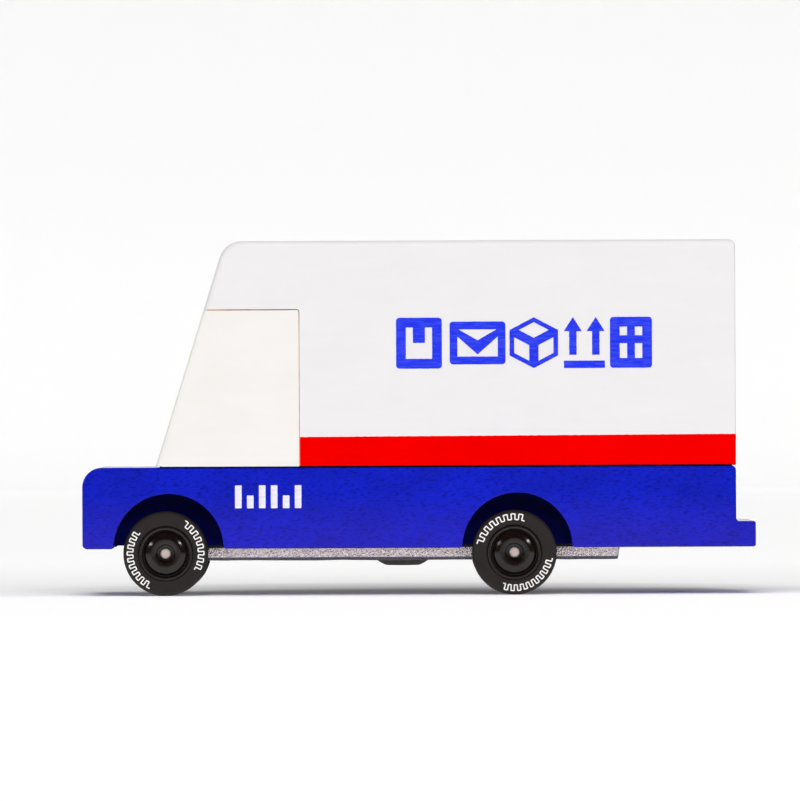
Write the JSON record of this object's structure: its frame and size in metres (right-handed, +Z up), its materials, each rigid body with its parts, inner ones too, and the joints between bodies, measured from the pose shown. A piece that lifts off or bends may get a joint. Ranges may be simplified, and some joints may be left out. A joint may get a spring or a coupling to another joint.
{
  "type": "toy mail delivery truck",
  "caption": "Small wooden mail delivery truck with a slanted cab, painted blue and white blocks, a cast chassis plate, domed black rims and rubber tyres on axles that turn.",
  "frame": {"origin": "on the floor under the middle of the truck: the middle of its length, the middle of its width and the bottom of its tyres", "axes": "+X from the nose to the rear bumper, +Y to the truck's right side, +Z up. The nose points to -X."},
  "size_m": [0.1, 0.038, 0.0527],
  "materials": {
    "blue_painted_beech": "satin blue paint over beech",
    "white_painted_beech": "satin white paint over beech, red band and blue marks",
    "cream_painted_beech": "satin cream paint over beech",
    "raw_beech": "turned, unpainted",
    "cast_plate": "die cast, tumbled, sparkling silver",
    "black_screw": "black oxide, satin",
    "axle_steel": "drawn wire, cut ends",
    "rim_plastic": "gloss black moulding",
    "tyre_rubber": "smooth black rubber, white printed dashes"
  },
  "bodies": {
    "truck": {"lower_body": "blue_painted_beech", "cargo_box": "white_painted_beech", "cab_window_block": "cream_painted_beech", "front_dowel": "raw_beech", "rear_dowel": "raw_beech", "window_dowel": "raw_beech", "chassis_plate": "cast_plate", "chassis_screw": "black_screw"},
    "front_wheelset": {"front_axle_shaft": "axle_steel", "front_left_rim": "rim_plastic", "front_right_rim": "rim_plastic", "front_left_tyre": "tyre_rubber", "front_right_tyre": "tyre_rubber"},
    "rear_wheelset": {"rear_axle_shaft": "axle_steel", "rear_left_rim": "rim_plastic", "rear_right_rim": "rim_plastic", "rear_left_tyre": "tyre_rubber", "rear_right_tyre": "tyre_rubber"}
  },
  "joints": [
    {"name": "front_axle_spin", "type": "hinge", "parent": "truck", "child": "front_wheelset", "pos_m": [-0.03765, 0, 0.0063], "axis": [0, 1, 0], "continuous": true},
    {"name": "rear_axle_spin", "type": "hinge", "parent": "truck", "child": "rear_wheelset", "pos_m": [0.01415, 0, 0.0063], "axis": [0, 1, 0], "continuous": true}
  ]
}
